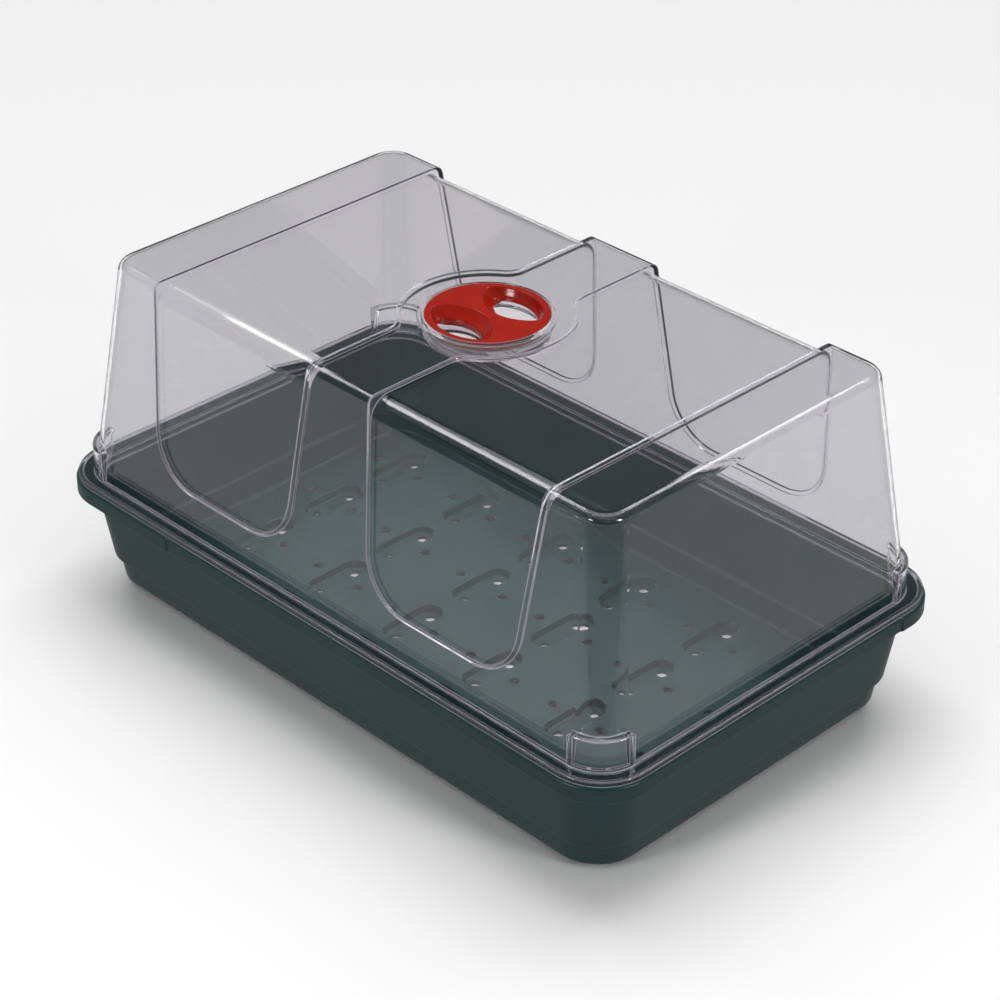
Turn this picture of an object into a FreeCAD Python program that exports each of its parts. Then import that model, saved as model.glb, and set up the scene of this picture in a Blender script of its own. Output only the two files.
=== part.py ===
"""Humidity dome tray: a seed tray with drainage wells, a clear dome that stands on its rim, and a round vent
disc that turns in the top of the dome.

Millimetres, +Z up.  The origin is on the surface the tray stands on, under the middle of the tray.  +X runs
along the length and +Y across the width.  Every plan outline is a rounded rectangle set in from the outline of
the tray's skirt, so a change of length or width carries through the tray, the dome and what they hold.
"""

import FreeCAD, Part
import math
import os

# ---- overall ----
TRAY_LENGTH = 380.0
TRAY_WIDTH = 236.0
RIM_HEIGHT = 62.8
DOME_RISE = 118.7

# ---- tray: rim and skirt ----
SKIRT_RADIUS = 28.0
SKIRT_DEPTH = 8.2
SKIRT_WALL = 1.8
SKIRT_SET_BACK = 0.8
SKIRT_EDGE_RADIUS = 1.2
CORNER_BAND_LENGTH = 88.5
CORNER_BAND_WIDTH = 34.2
RIM_WIDTH = 7.4
RIM_THICKNESS = 1.8

# ---- tray: walls and floor ----
TRAY_WALL = 1.6
TRAY_DRAFT = 6.9
TRAY_CORNER_RADIUS = 23.0
LEDGE_HEIGHT = 17.5
LEDGE_WIDTH = 1.9
FLOOR_THICKNESS = 1.8
FLOOR_EDGE_RADIUS = 5.0

# ---- tray: wells that stand on the bench, and drain holes ----
WELL_COLUMNS = 6
WELL_ROWS = 4
WELL_FIELD_SET_IN_X = 21.0
WELL_FIELD_SET_IN_Y = 23.6
WELL_LENGTH = 39.0
WELL_WIDTH = 16.0
WELL_DEPTH = 4.0
WELL_TAPER = 1.0
DRAIN_DIAMETER = 5.0
WELL_DRAIN_SPACING = 23.4
FLOOR_DRAIN_SPACING = 29.7

# ---- dome: flange, spigot and walls ----
DOME_WALL = 1.8
FLANGE_THICKNESS = 1.8
FLANGE_SET_IN = 1.2
FLANGE_EDGE_RADIUS = 0.8
BEAD_WIDTH = 2.4
BEAD_RISE = 0.9
SPIGOT_DEPTH = 3.0
SPIGOT_CLEARANCE = 0.6
DOME_SHOULDER = 0.6
DOME_DRAFT = 7.1
DOME_CORNER_RADIUS_BASE = 17.0
DOME_CORNER_RADIUS_TOP = 14.0
DOME_EDGE_RADIUS = 5.2

# ---- dome: panels between the ribs ----
MIDDLE_RIB_WIDTH = 41.0
END_RIB_WIDTH = 35.8
PANEL_DEPTH_TOP = 2.0
PANEL_DEPTH_SIDE = 1.5
PANEL_EDGE_RADIUS = 12.0
PANEL_FOOT_RISE = 19.9
PANEL_FOOT_RADIUS = 26.0
PANEL_SIDE_DRAFT = 5.2
BOSS_RADIUS = 42.7
BOSS_FILLET = 10.0

# ---- dome: corner collars ----
COLLAR_OVERHANG = 1.0
COLLAR_RADIUS = 21.0
COLLAR_SPAN = 21.0
COLLAR_HEIGHT = 16.4
COLLAR_EDGE_RADIUS = 1.4

# ---- vent seat in the dome ----
SEAT_RADIUS = 28.3
SEAT_DEPTH = 9.0
RECESS_DEPTH = 2.9
RECESS_CLEARANCE = 0.4
WINDOW_SHRINK = 0.5

# ---- vent disc ----
DISC_OVERLAP = 1.4
DISC_THICKNESS = 2.3
DISC_EDGE_RADIUS = 0.7
DISC_AXIAL_GAP = 0.2
DISC_BODY_CLEARANCE = 0.5
DISC_REST_TURN = -7.5
GRIP_HALF_WIDTH = 2.5
POCKET_RADIUS_TOP = 22.5
POCKET_RADIUS_FOOT = 18.0
POCKET_SLOPE_RUN = 5.5
POCKET_RIM_WALL = 1.6
POCKET_CORNER_RADIUS = 5.0
GRIP_CORE_RADIUS = 5.0
GRIP_CORE_WALL = 6.9
GRIP_CORE_ROOF = 2.0

# ---- snap hub that holds the disc ----
HUB_RADIUS = 4.0
HUB_CLEARANCE = 0.08
SNAP_LIP = 0.9
SNAP_HEIGHT = 3.0
SNAP_GAP = 0.3
SNAP_WALL = 1.8

OVERCUT = 1.0

DOME_HEIGHT = RIM_HEIGHT + DOME_RISE
FLANGE_TOP = RIM_HEIGHT + FLANGE_THICKNESS
PANEL_FOOT_HEIGHT = FLANGE_TOP + PANEL_FOOT_RISE
COLLAR_TOP = FLANGE_TOP + COLLAR_HEIGHT
TRAY_SLOPE = math.tan(math.radians(TRAY_DRAFT))
DOME_SLOPE = math.tan(math.radians(DOME_DRAFT))
SEAT_FLOOR = DOME_HEIGHT - SEAT_DEPTH
RECESS_FLOOR = DOME_HEIGHT - RECESS_DEPTH
RECESS_RADIUS = SEAT_RADIUS + DISC_OVERLAP + RECESS_CLEARANCE
DISC_FOOT = RECESS_FLOOR + DISC_AXIAL_GAP
SPIGOT_SET_IN = RIM_WIDTH + TRAY_WALL + SPIGOT_CLEARANCE
SPIGOT_LEAN = SPIGOT_DEPTH * TRAY_SLOPE
SPIGOT_RADIUS = TRAY_CORNER_RADIUS - TRAY_WALL - SPIGOT_CLEARANCE
DOME_SET_IN = SPIGOT_SET_IN + DOME_SHOULDER
COLLAR_SET_IN = SPIGOT_SET_IN - COLLAR_OVERHANG
MIDDLE_RIB_EDGE = MIDDLE_RIB_WIDTH / 2
WELL_PITCH_X = (TRAY_LENGTH - 2 * WELL_FIELD_SET_IN_X) / WELL_COLUMNS
WELL_PITCH_Y = (TRAY_WIDTH - 2 * WELL_FIELD_SET_IN_Y) / WELL_ROWS
DISC_BODY_RADIUS = SEAT_RADIUS - DISC_BODY_CLEARANCE


def vector(x, y, z):
    return FreeCAD.Vector(x, y, z)


def rounded_outline(set_in, radius, height):
    """Rounded rectangle at a height, set in from the skirt's outline."""
    half_x = TRAY_LENGTH / 2 - set_in
    half_y = TRAY_WIDTH / 2 - set_in
    edges = []
    corners = [(1, -1, -90), (1, 1, 0), (-1, 1, 90), (-1, -1, 180)]
    centres = [vector(sx * (half_x - radius), sy * (half_y - radius), height) for sx, sy, _ in corners]
    for index, (_, _, start) in enumerate(corners):
        arc = Part.makeCircle(radius, centres[index], vector(0, 0, 1), start, start + 90)
        edges.append(arc)
    wired = []
    for index, arc in enumerate(edges):
        following = edges[(index + 1) % 4]
        wired.append(arc)
        wired.append(Part.makeLine(arc.Vertexes[-1].Point, following.Vertexes[0].Point))
    return Part.Wire(wired)


def tapered_block(lower, upper):
    """Solid between two rounded outlines, each given as (set_in, radius, height)."""
    if lower[:2] == upper[:2]:
        return Part.Face(rounded_outline(*lower)).extrude(vector(0, 0, upper[2] - lower[2]))
    return Part.makeLoft([rounded_outline(*lower), rounded_outline(*upper)], True, True)


def level_edges(solid, height):
    """Edges that lie wholly at one height."""
    found = []
    for edge in solid.Edges:
        box = edge.BoundBox
        if abs(box.ZMin - height) < 0.01 and abs(box.ZMax - height) < 0.01:
            found.append(edge)
    return found


def box_between(low, high):
    size = [b - a for a, b in zip(low, high)]
    return Part.makeBox(size[0], size[1], size[2], vector(*low))


def fused(shapes):
    first = shapes[0]
    return first.multiFuse(shapes[1:]).removeSplitter()


# ------------------------------------------------------------------ tray

def tray_set_in(height):
    """How far the tray wall's outer face is set in at a height above the ledge."""
    return RIM_WIDTH + (RIM_HEIGHT - height) * TRAY_SLOPE


def tray_body(offset):
    """The tray's outer form, or its inner form when offset by the wall."""
    radius = TRAY_CORNER_RADIUS - offset
    foot = WELL_DEPTH + (FLOOR_THICKNESS if offset else 0.0)
    ledge = LEDGE_HEIGHT + offset
    top = RIM_HEIGHT + (OVERCUT if offset else 0.0)
    lower_top = tray_set_in(ledge) + LEDGE_WIDTH + offset
    lower_foot = lower_top + (ledge - foot) * TRAY_SLOPE
    lower = tapered_block((lower_foot, radius, foot), (lower_top, radius, ledge))
    lower = lower.makeFillet(FLOOR_EDGE_RADIUS - offset, level_edges(lower, foot))
    upper_foot = tray_set_in(ledge) + offset
    upper = tapered_block((upper_foot, radius, ledge), (tray_set_in(top) + offset, radius, top))
    return lower.fuse(upper)


def rim_cap(set_in):
    """Flat rim with its skirt, for one set-in of the skirt's outer face."""
    foot = RIM_HEIGHT - SKIRT_DEPTH
    radius = SKIRT_RADIUS - set_in
    outer = tapered_block((set_in, radius, foot), (set_in, radius, RIM_HEIGHT))
    outer = outer.makeFillet(SKIRT_EDGE_RADIUS, level_edges(outer, RIM_HEIGHT))
    hollow_in = set_in + SKIRT_WALL
    hollow_radius = SKIRT_RADIUS - hollow_in
    hollow_top = RIM_HEIGHT - RIM_THICKNESS
    hollow = tapered_block((hollow_in, hollow_radius, foot - OVERCUT), (hollow_in, hollow_radius, hollow_top))
    return outer.cut(hollow)


def corner_blocks(span_x, span_y, low, high):
    """Four blocks that cover the corners of the tray's plan."""
    blocks = []
    for side_x in (-1, 1):
        for side_y in (-1, 1):
            xs = sorted((side_x * (TRAY_LENGTH / 2 - span_x), side_x * (TRAY_LENGTH / 2 + OVERCUT)))
            ys = sorted((side_y * (TRAY_WIDTH / 2 - span_y), side_y * (TRAY_WIDTH / 2 + OVERCUT)))
            blocks.append(box_between((xs[0], ys[0], low), (xs[1], ys[1], high)))
    return Part.makeCompound(blocks)


def well_places():
    for column in range(WELL_COLUMNS):
        for row in range(WELL_ROWS):
            x = (column - (WELL_COLUMNS - 1) / 2) * WELL_PITCH_X
            y = (row - (WELL_ROWS - 1) / 2) * WELL_PITCH_Y
            yield x, y


def slot_outline(x, y, length, width, height):
    """Round-ended slot with its length along Y."""
    reach = (length - width) / 2
    radius = width / 2
    far = Part.makeCircle(radius, vector(x, y + reach, height), vector(0, 0, 1), 0, 180)
    near = Part.makeCircle(radius, vector(x, y - reach, height), vector(0, 0, 1), 180, 360)
    left = Part.makeLine(far.Vertexes[-1].Point, near.Vertexes[0].Point)
    right = Part.makeLine(near.Vertexes[-1].Point, far.Vertexes[0].Point)
    return Part.Wire([far, left, near, right])


def well(x, y, offset, foot, top):
    """Tapered slot, narrower at its foot; offset draws every side in."""
    wide = slot_outline(x, y, WELL_LENGTH - 2 * offset, WELL_WIDTH - 2 * offset, top)
    shrink = 2 * (offset + WELL_TAPER)
    narrow = slot_outline(x, y, WELL_LENGTH - shrink, WELL_WIDTH - shrink, foot)
    return Part.makeLoft([narrow, wide], True, True)


def drain(x, y):
    return Part.makeCylinder(DRAIN_DIAMETER / 2, WELL_DEPTH + FLOOR_THICKNESS + 2 * OVERCUT,
                             vector(x, y, -OVERCUT))


def seed_tray():
    floor_top = WELL_DEPTH + FLOOR_THICKNESS
    cap_mid = rim_cap(SKIRT_SET_BACK)
    corners = corner_blocks(CORNER_BAND_LENGTH, CORNER_BAND_WIDTH, 0.0, RIM_HEIGHT + OVERCUT)
    cap_corners = rim_cap(0.0).common(corners)
    feet = [well(x, y, 0.0, 0.0, WELL_DEPTH + FLOOR_THICKNESS / 2) for x, y in well_places()]
    solid = fused([tray_body(0.0), cap_mid, cap_corners] + feet)
    hollows = [well(x, y, TRAY_WALL, FLOOR_THICKNESS, floor_top + OVERCUT / 10) for x, y in well_places()]
    drains = []
    for x, y in well_places():
        for side in (-0.5, 0.5):
            drains.append(drain(x, y + side * WELL_DRAIN_SPACING))
            drains.append(drain(x + side * FLOOR_DRAIN_SPACING, y))
    solid = solid.cut(tray_body(TRAY_WALL))
    solid = solid.cut(Part.makeCompound(hollows))
    return solid.cut(Part.makeCompound(drains))


# ------------------------------------------------------------------ dome

def dome_set_in(height):
    return DOME_SET_IN + (height - FLANGE_TOP) * DOME_SLOPE


def panel_envelope(offset):
    """Length of the panels' own surface: a trapezium section with large round shoulders, along X."""
    half_foot = TRAY_WIDTH / 2 - dome_set_in(RIM_HEIGHT) - PANEL_DEPTH_SIDE - offset
    top = DOME_HEIGHT - PANEL_DEPTH_TOP - offset
    half_top = TRAY_WIDTH / 2 - dome_set_in(top) - PANEL_DEPTH_SIDE - offset
    reach = TRAY_LENGTH / 2
    points = [(-half_foot, RIM_HEIGHT), (half_foot, RIM_HEIGHT), (half_top, top), (-half_top, top)]
    ring = [vector(-reach, y, z) for y, z in points]
    face = Part.Face(Part.makePolygon(ring + ring[:1]))
    block = face.extrude(vector(2 * reach, 0, 0))
    shoulders = level_edges(block, top)
    shoulders = [edge for edge in shoulders if edge.Length > reach]
    return block.makeFillet(PANEL_EDGE_RADIUS - offset, shoulders)


def panel_tongue(side, offset):
    """U-shaped stretch of one panel, seen from the front, carried right across the dome."""
    end_edge = TRAY_LENGTH / 2 - dome_set_in(DOME_HEIGHT) - END_RIB_WIDTH + offset
    inner_edge = MIDDLE_RIB_EDGE - offset
    foot = PANEL_FOOT_HEIGHT - offset
    top = DOME_HEIGHT + OVERCUT
    lean = math.tan(math.radians(PANEL_SIDE_DRAFT))
    narrowing = (DOME_HEIGHT - foot) * lean
    widening = OVERCUT * lean
    points = [(inner_edge - widening, top), (inner_edge + narrowing, foot),
              (end_edge - narrowing, foot), (end_edge + widening, top)]
    reach = TRAY_WIDTH / 2
    ring = [vector(side * x, -reach, z) for x, z in points]
    face = Part.Face(Part.makePolygon(ring + ring[:1]))
    block = face.extrude(vector(0, 2 * reach, 0))
    return block.makeFillet(PANEL_FOOT_RADIUS + offset, [e for e in level_edges(block, foot) if e.Length > reach])


def panel_cutter(side, offset):
    """What is taken off the plain dome to leave one panel sunk between its ribs and round the boss."""
    boss = Part.makeCylinder(BOSS_RADIUS - offset, DOME_HEIGHT, vector(0, 0, 0))
    tongue = panel_tongue(side, offset).cut(boss)
    junctions = []
    for edge in tongue.Edges:
        middle = edge.CenterOfMass
        near_rib = abs(abs(middle.x) - MIDDLE_RIB_EDGE) < 4 * BOSS_FILLET / 3
        steep = edge.BoundBox.ZLength > (DOME_HEIGHT - PANEL_FOOT_HEIGHT) / 2
        if near_rib and steep and abs(middle.y) < BOSS_RADIUS:
            junctions.append(edge)
    tongue = tongue.makeFillet(BOSS_FILLET + offset, junctions)
    return tongue.cut(panel_envelope(offset))


def dome_form(offset):
    """Outside of the dome without flange or collars, or its inside when offset by the wall."""
    foot = FLANGE_TOP if offset else RIM_HEIGHT
    top = DOME_HEIGHT - offset
    base_radius = DOME_CORNER_RADIUS_BASE - offset
    top_radius = DOME_CORNER_RADIUS_TOP - offset
    form = tapered_block((dome_set_in(foot) + offset, base_radius, foot),
                         (dome_set_in(top) + offset, top_radius, top))
    form = form.makeFillet(DOME_EDGE_RADIUS - offset, level_edges(form, top))
    for side in (-1, 1):
        form = form.cut(panel_cutter(side, offset))
    return form


def collars(set_in, radius, span, low, high, edge_radius):
    """Round collars over the four corners, above the flange."""
    block = tapered_block((set_in, radius, low), (set_in, radius, high))
    block = block.common(corner_blocks(set_in + span, set_in + span, low, high))
    if edge_radius:
        block = block.makeFillet(edge_radius, level_edges(block, high))
    return block


def flange():
    """Plate that lies on the tray's rim, with a raised round bead along its edge."""
    radius = SKIRT_RADIUS - FLANGE_SET_IN
    inner = FLANGE_SET_IN + BEAD_WIDTH
    bead_top = FLANGE_TOP + BEAD_RISE
    plate = tapered_block((FLANGE_SET_IN, radius, RIM_HEIGHT), (FLANGE_SET_IN, radius, bead_top))
    inside = tapered_block((inner, SKIRT_RADIUS - inner, FLANGE_TOP),
                           (inner, SKIRT_RADIUS - inner, bead_top + OVERCUT))
    plate = plate.cut(inside)
    return plate.makeFillet(FLANGE_EDGE_RADIUS, level_edges(plate, bead_top))


def spigot():
    """Skirt under the flange that drops inside the tray's wall."""
    foot = RIM_HEIGHT - SPIGOT_DEPTH
    return tapered_block((SPIGOT_SET_IN + SPIGOT_LEAN, SPIGOT_RADIUS, foot),
                         (SPIGOT_SET_IN, SPIGOT_RADIUS, RIM_HEIGHT))


def spigot_opening():
    """What is taken out of the spigot and the flange, flush with the inside of the dome's walls."""
    set_in = DOME_SET_IN + DOME_WALL
    radius = SPIGOT_RADIUS - (set_in - SPIGOT_SET_IN)
    return tapered_block((set_in, radius, RIM_HEIGHT - SPIGOT_DEPTH - OVERCUT), (set_in, radius, FLANGE_TOP))


def lens_outline(shrink, arc_radius, bar_edge, height, turn):
    """Lens between the seat's rim and the grip bar, with round tips, as a wire turned about Z."""
    rim_radius = DISC_BODY_RADIUS - POCKET_RIM_WALL - shrink
    arc_centre = bar_edge + arc_radius
    disc = Part.Face(Part.Wire(Part.makeCircle(rim_radius, vector(0, 0, height))))
    round_bar = Part.Face(Part.Wire(Part.makeCircle(arc_radius, vector(0, arc_centre, height))))
    lens = disc.common(round_bar)
    prism = lens.extrude(vector(0, 0, OVERCUT))
    tips = [edge for edge in prism.Edges if edge.BoundBox.ZLength > OVERCUT / 2 and edge.BoundBox.XLength < 0.01]
    prism = prism.makeFillet(POCKET_CORNER_RADIUS, tips)
    for face in prism.Faces:
        if abs(face.BoundBox.ZMin - height) < 0.001 and abs(face.BoundBox.ZMax - height) < 0.001:
            wire = face.OuterWire.copy()
            wire.rotate(vector(0, 0, 0), vector(0, 0, 1), turn)
            return wire
    raise ValueError("the vent pocket has no flat outline at this height")


def windows():
    """Two openings through the seat's floor, under the disc's pockets when the vent is open."""
    openings = []
    foot_edge = GRIP_HALF_WIDTH + POCKET_SLOPE_RUN
    for turn in (0, 180):
        outline = lens_outline(WINDOW_SHRINK, POCKET_RADIUS_FOOT - WINDOW_SHRINK, foot_edge + WINDOW_SHRINK,
                               SEAT_FLOOR - DOME_WALL - OVERCUT, turn)
        openings.append(Part.Face(outline).extrude(vector(0, 0, DOME_WALL + 2 * OVERCUT)))
    return openings


def dome():
    shell = fused([dome_form(0.0), flange(), spigot(),
                   collars(COLLAR_SET_IN, COLLAR_RADIUS, COLLAR_SPAN, FLANGE_TOP - OVERCUT, COLLAR_TOP,
                           COLLAR_EDGE_RADIUS)])
    shell = shell.cut(dome_form(DOME_WALL)).cut(spigot_opening())
    shell = shell.cut(collars(COLLAR_SET_IN + DOME_WALL, COLLAR_RADIUS - DOME_WALL, COLLAR_SPAN - 2 * DOME_WALL,
                              FLANGE_TOP, COLLAR_TOP - DOME_WALL, 0.0))
    seat_foot = SEAT_FLOOR - DOME_WALL
    cup = Part.makeCylinder(SEAT_RADIUS + DOME_WALL, RECESS_FLOOR - seat_foot, vector(0, 0, seat_foot))
    ledge = Part.makeCylinder(RECESS_RADIUS + DOME_WALL, RECESS_DEPTH + DOME_WALL,
                              vector(0, 0, RECESS_FLOOR - DOME_WALL))
    shell = fused([shell, cup, ledge])
    bore = Part.makeCylinder(SEAT_RADIUS, SEAT_DEPTH + OVERCUT, vector(0, 0, SEAT_FLOOR))
    recess = Part.makeCylinder(RECESS_RADIUS, RECESS_DEPTH + OVERCUT, vector(0, 0, RECESS_FLOOR))
    hub_bore = Part.makeCylinder(HUB_RADIUS + HUB_CLEARANCE, DOME_WALL + 2 * OVERCUT,
                                 vector(0, 0, seat_foot - OVERCUT))
    return shell.cut(Part.makeCompound([bore, recess, hub_bore] + windows()))


# ------------------------------------------------------------------ vent disc

def pocket(turn):
    """Finger pocket: wide at the top, drawn back from the grip bar at its foot, open right through."""
    top = DISC_FOOT + DISC_THICKNESS
    foot = SEAT_FLOOR + DISC_BODY_CLEARANCE
    wide = lens_outline(0.0, POCKET_RADIUS_TOP, GRIP_HALF_WIDTH, top, turn)
    narrow = lens_outline(0.0, POCKET_RADIUS_FOOT, GRIP_HALF_WIDTH + POCKET_SLOPE_RUN, foot, turn)
    slope = Part.makeLoft([narrow, wide], True, True)
    above = Part.Face(wide).extrude(vector(0, 0, OVERCUT))
    below = Part.Face(narrow).extrude(vector(0, 0, -OVERCUT))
    return slope.fuse([above, below])


def snap_hub():
    """Hollow pin with a lip that catches under the seat's floor."""
    body_foot = SEAT_FLOOR + DISC_BODY_CLEARANCE
    lip_top = SEAT_FLOOR - DOME_WALL - SNAP_GAP
    lip_foot = lip_top - SNAP_HEIGHT
    pin = Part.makeCylinder(HUB_RADIUS, body_foot + OVERCUT - lip_foot, vector(0, 0, lip_foot))
    lip = Part.makeCone(HUB_RADIUS - SNAP_LIP, HUB_RADIUS + SNAP_LIP, SNAP_HEIGHT, vector(0, 0, lip_foot))
    bore = Part.makeCylinder(HUB_RADIUS - SNAP_WALL, body_foot + 2 * OVERCUT - lip_foot,
                             vector(0, 0, lip_foot - OVERCUT))
    return fused([pin, lip]), bore


def vent_disc():
    top = DISC_FOOT + DISC_THICKNESS
    body_foot = SEAT_FLOOR + DISC_BODY_CLEARANCE
    plate = Part.makeCylinder(SEAT_RADIUS + DISC_OVERLAP, DISC_THICKNESS, vector(0, 0, DISC_FOOT))
    plate = plate.makeFillet(DISC_EDGE_RADIUS, level_edges(plate, top))
    body = Part.makeCylinder(DISC_BODY_RADIUS, DISC_FOOT - body_foot, vector(0, 0, body_foot))
    pin, bore = snap_hub()
    solid = fused([plate, body, pin])
    cuts = [pocket(0), pocket(180), bore]
    for side in (-1, 1):
        depth = top - GRIP_CORE_ROOF - body_foot + OVERCUT
        reach = DISC_BODY_RADIUS - GRIP_CORE_WALL - GRIP_CORE_RADIUS
        place = vector(side * reach, 0, body_foot - OVERCUT)
        cuts.append(Part.makeCylinder(GRIP_CORE_RADIUS, depth, place))
    solid = solid.cut(Part.makeCompound(cuts))
    solid.rotate(vector(0, 0, 0), vector(0, 0, 1), DISC_REST_TURN)
    return solid


def save(name, shape):
    solids = shape.Solids
    if len(solids) != 1 or not solids[0].isValid():
        raise ValueError(f"{name}: {len(solids)} solids, valid {[s.isValid() for s in solids]}")
    solids[0].exportStep(os.path.join("parts", name + ".step"))
    box = solids[0].BoundBox
    print(f"{name}: {box.XLength:.1f} x {box.YLength:.1f} x {box.ZLength:.1f} mm, "
          f"{solids[0].Volume / 1000:.1f} cm3")


def main():
    os.makedirs("parts", exist_ok=True)
    save("seed_tray", seed_tray())
    save("dome", dome())
    save("vent_disc", vent_disc())


main()
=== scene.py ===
"""Humidity dome tray in its studio: seed tray, clear dome and turning vent disc.

Sizes inside the shape functions are in millimetres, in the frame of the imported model, and are scaled to
metres when a mesh is written.
"""

import math

import bpy
import numpy as np
from bpy.props import FloatProperty, FloatVectorProperty, PointerProperty
from mathutils import Matrix, Vector


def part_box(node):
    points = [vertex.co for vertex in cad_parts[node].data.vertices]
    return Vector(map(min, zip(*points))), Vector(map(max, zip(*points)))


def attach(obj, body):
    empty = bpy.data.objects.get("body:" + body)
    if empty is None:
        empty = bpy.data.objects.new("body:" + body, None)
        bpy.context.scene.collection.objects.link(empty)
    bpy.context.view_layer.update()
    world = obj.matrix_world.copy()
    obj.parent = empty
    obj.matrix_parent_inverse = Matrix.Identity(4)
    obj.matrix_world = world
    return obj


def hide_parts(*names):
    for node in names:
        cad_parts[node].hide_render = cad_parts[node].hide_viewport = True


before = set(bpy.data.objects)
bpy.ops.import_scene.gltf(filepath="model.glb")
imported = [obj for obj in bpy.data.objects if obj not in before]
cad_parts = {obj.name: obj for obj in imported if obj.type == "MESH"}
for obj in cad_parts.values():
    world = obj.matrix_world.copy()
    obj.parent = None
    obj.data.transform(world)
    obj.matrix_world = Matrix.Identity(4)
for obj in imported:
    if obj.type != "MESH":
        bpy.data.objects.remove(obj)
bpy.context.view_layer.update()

bl_info = {
    "name": "Humidity Dome Tray",
    "version": (1, 0, 0),
    "blender": (4, 5, 0),
    "location": "View3D > Sidebar > Dome Tray",
    "description": "Builds a seed tray with a clear dome and a turning vent disc in a plain studio",
    "category": "Object",
}

MM = 0.001
TRAY_LOW, TRAY_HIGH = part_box("seed_tray")
WELD_STEPS = 1e4            # welding grid, in steps to the millimetre
WELD_SHIFT = 0.217          # part of a step that keeps the grid's limits off the round numbers of the sizes
ARC_STEPS = 5               # segments round a fillet of a section
LEG_SHARE = 0.45            # most of a leg that one fillet takes
HOLD = 0.35                 # how far outside a fillet its face is held flat
HOLD_SHARE = 0.2            # most of a leg that this takes


# ------------------------------------------------------------------ surfaces from arrays

class Skin:
    """Gathers grids of points into one welded mesh."""

    def __init__(self):
        self.points = []
        self.quads = []
        self.count = 0

    def add(self, grid, flip=False):
        """Takes a grid of points, rows by columns by 3, as a sheet of quads; flip turns its faces round."""
        rows, columns = grid.shape[:2]
        index = self.count + np.arange(rows * columns).reshape(rows, columns)
        quads = np.stack([index[:-1, :-1], index[:-1, 1:], index[1:, 1:], index[1:, :-1]], -1).reshape(-1, 4)
        self.points.append(grid.reshape(-1, 3))
        self.quads.append(quads[:, ::-1] if flip else quads)
        self.count += rows * columns

    def piece(self, name, material, sharp_angle=32.0):
        """Welds points that share a cell of the welding grid, drops collapsed faces and makes the object."""
        points = np.concatenate(self.points)
        keys = np.round(points * WELD_STEPS + WELD_SHIFT).astype(np.int64)
        _, first, inverse = np.unique(keys, axis=0, return_index=True, return_inverse=True)
        quads = inverse.reshape(-1)[np.concatenate(self.quads)]
        following = np.roll(quads, -1, axis=1)
        repeated = quads == following
        whole = quads[repeated.sum(1) == 0]
        folded = quads[repeated.sum(1) == 1]
        kept = ~repeated[repeated.sum(1) == 1]
        triangles = folded[kept].reshape(-1, 3)
        mesh = bpy.data.meshes.new(name)
        mesh.vertices.add(len(first))
        mesh.vertices.foreach_set("co", (points[first] * MM).astype(np.float32).ravel())
        corners = np.concatenate([whole.ravel(), triangles.ravel()]).astype(np.int32)
        sizes = np.concatenate([np.full(len(whole), 4), np.full(len(triangles), 3)])
        starts = np.concatenate([[0], np.cumsum(sizes)[:-1]]).astype(np.int32)
        mesh.loops.add(len(corners))
        mesh.loops.foreach_set("vertex_index", corners)
        mesh.polygons.add(len(sizes))
        mesh.polygons.foreach_set("loop_start", starts)
        mesh.update(calc_edges=True)
        mesh.validate()
        mesh.polygons.foreach_set("use_smooth", np.ones(len(mesh.polygons), bool))
        mesh.set_sharp_from_angle(angle=math.radians(sharp_angle))
        mesh.materials.append(material)
        piece = bpy.data.objects.new(name, mesh)
        bpy.context.scene.collection.objects.link(piece)
        return piece


def between(first, last, steps):
    """Grid whose rows go in a straight line from one row of points to another."""
    share = np.linspace(0.0, 1.0, steps + 1)[:, None, None]
    return first[None] * (1 - share) + last[None] * share


def at_height(plan, height):
    """Plan points, n by 2, lifted to a height, one number or one for each point."""
    return np.concatenate([plan, np.broadcast_to(np.reshape(height, (-1, 1)), (len(plan), 1))], 1)


def rounded_profile(corners):
    """Section with its corners rounded.

    corners is rows of (set-in, height, plan radius, fillet). Each fillet is an arc tangent to both of its
    legs, shortened where a leg is too short. Rows a little outside each arc keep flat faces flat.
    """
    table = np.array(corners, float)
    rows = [table[0, :3]]
    for before, here, after in zip(table[:-2], table[1:-1], table[2:]):
        leg_in = before[:2] - here[:2]
        leg_out = after[:2] - here[:2]
        reach_in, reach_out = np.linalg.norm(leg_in), np.linalg.norm(leg_out)
        unit_in, unit_out = leg_in / reach_in, leg_out / reach_out
        half = math.acos(np.clip(unit_in @ unit_out, -1, 1)) / 2
        tangent = min(here[3] / math.tan(half), LEG_SHARE * reach_in, LEG_SHARE * reach_out)
        radius = tangent * math.tan(half)
        middle = (unit_in + unit_out) / np.linalg.norm(unit_in + unit_out)
        centre = here[:2] + middle * radius / math.sin(half)
        start = here[:2] + unit_in * tangent - centre
        sweep = math.pi - 2 * half
        turn = sweep * np.sign(start[0] * (-unit_in[1]) - start[1] * (-unit_in[0]))
        angles = np.linspace(0, turn, ARC_STEPS + 1)
        arc = centre + np.stack([start[0] * np.cos(angles) - start[1] * np.sin(angles),
                                 start[0] * np.sin(angles) + start[1] * np.cos(angles)], 1)
        plan_in = here[2] + (before[2] - here[2]) * tangent / reach_in
        plan_out = here[2] + (after[2] - here[2]) * tangent / reach_out
        plans = np.linspace(plan_in, plan_out, ARC_STEPS + 1)
        step_in, step_out = min(HOLD, HOLD_SHARE * reach_in), min(HOLD, HOLD_SHARE * reach_out)
        rows.append(np.r_[arc[0] + unit_in * step_in, plan_in])
        rows.extend(np.c_[arc, plans])
        rows.append(np.r_[arc[-1] + unit_out * step_out, plan_out])
    rows.append(table[-1, :3])
    return np.array(rows)


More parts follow.
